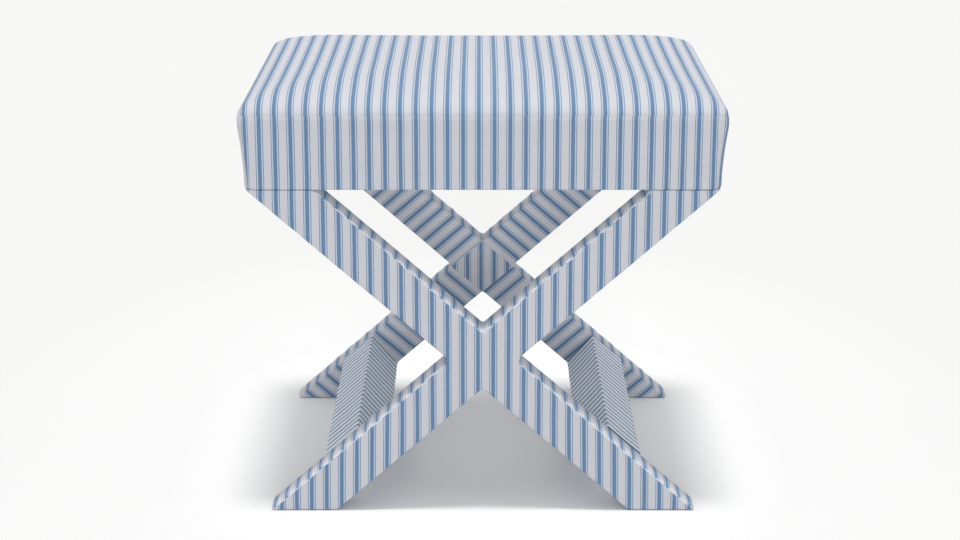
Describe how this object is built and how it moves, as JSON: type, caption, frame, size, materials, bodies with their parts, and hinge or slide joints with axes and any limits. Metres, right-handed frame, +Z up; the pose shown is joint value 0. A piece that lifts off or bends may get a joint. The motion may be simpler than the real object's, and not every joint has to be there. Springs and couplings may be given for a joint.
{
  "type": "upholstered x-frame bench",
  "caption": "Low upholstered bench: a crowned box cushion on two crossed-leg frames, tied by low stretchers, all covered in striped ticking.",
  "frame": {"origin": "on the floor, under the middle of the bench", "axes": "+X to the right along the bench's longer side, +Y to the back, +Z up"},
  "size_m": [0.509, 0.422, 0.4628],
  "materials": {
    "ticking": "matte",
    "wadding": "matte",
    "foam": "matte",
    "plywood": "matte",
    "softwood": "matte",
    "hardwood": "matte",
    "zinc_steel": "satin",
    "dust_cloth": "matte",
    "nylon": "satin"
  },
  "bodies": {
    "root": {"seat_cover": "ticking", "seat_wadding": "wadding", "seat_foam": "foam", "seat_deck": "plywood", "front_rail": "softwood", "rear_rail": "softwood", "left_rail": "softwood", "right_rail": "softwood", "front_left_block": "softwood", "front_right_block": "softwood", "rear_left_block": "softwood", "rear_right_block": "softwood", "rail_screws": "zinc_steel", "block_screws": "zinc_steel", "deck_screws": "zinc_steel", "cover_staples": "zinc_steel", "dust_cover": "dust_cloth", "dust_cover_staples": "zinc_steel", "front_left_leg": "softwood", "front_right_leg": "softwood", "rear_left_leg": "softwood", "rear_right_leg": "softwood", "lap_screws": "zinc_steel", "front_frame_padding": "wadding", "rear_frame_padding": "wadding", "front_frame_cover": "ticking", "rear_frame_cover": "ticking", "left_stretcher": "softwood", "right_stretcher": "softwood", "left_stretcher_cover": "ticking", "right_stretcher_cover": "ticking", "stretcher_dowels": "hardwood", "leg_bolts": "zinc_steel", "leg_bolt_washers": "zinc_steel", "leg_bolt_nuts": "zinc_steel", "floor_glides": "nylon"}
  },
  "joints": []
}
